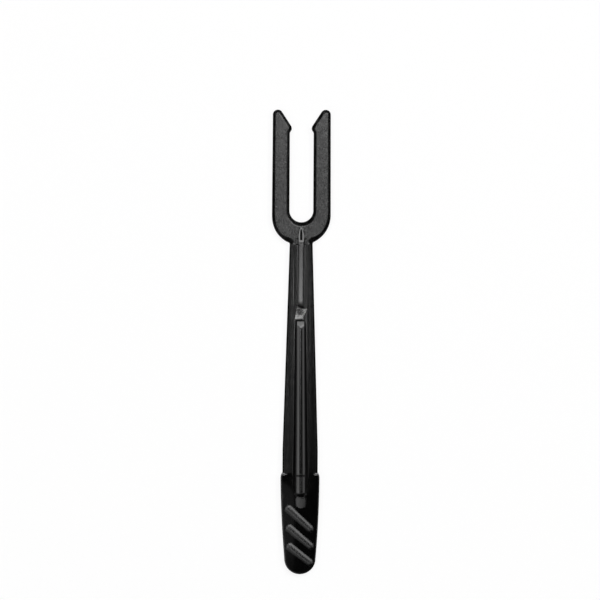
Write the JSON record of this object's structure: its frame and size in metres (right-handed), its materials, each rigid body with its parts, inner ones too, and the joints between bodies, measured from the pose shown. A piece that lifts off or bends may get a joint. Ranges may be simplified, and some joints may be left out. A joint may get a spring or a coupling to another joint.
{
  "type": "plastic chip fork",
  "caption": "Flat barbed fork for picking up chips, with a ribbed tapering stem and a thumb grip with slanting ridges, moulded in black plastic.",
  "frame": {"origin": "centre of the fork's plan box, on the flat back that it lies on", "axes": "+Y from the grip to the tine tips, +Z out of the ribbed face, +X to the right seen from above"},
  "size_m": [0.0108, 0.0848, 0.0022],
  "materials": {
    "satin_black": "satin black plastic, fine moulded texture",
    "gloss_black": "glossy black plastic with faint lengthwise flow marks",
    "polished_black": "polished black plastic",
    "broken_black": "rough broken plastic, paler than the moulded skin"
  },
  "bodies": {
    "root": {"left_tine": "satin_black", "right_tine": "satin_black", "yoke": "satin_black", "rib_nose": "satin_black", "stem": "gloss_black", "upper_rib": "gloss_black", "lower_rib": "gloss_black", "gate_stub": "broken_black", "grip_pad": "polished_black", "rib_toe": "gloss_black", "grip_ridge_1": "polished_black", "grip_ridge_2": "polished_black", "grip_ridge_3": "polished_black"}
  },
  "joints": []
}
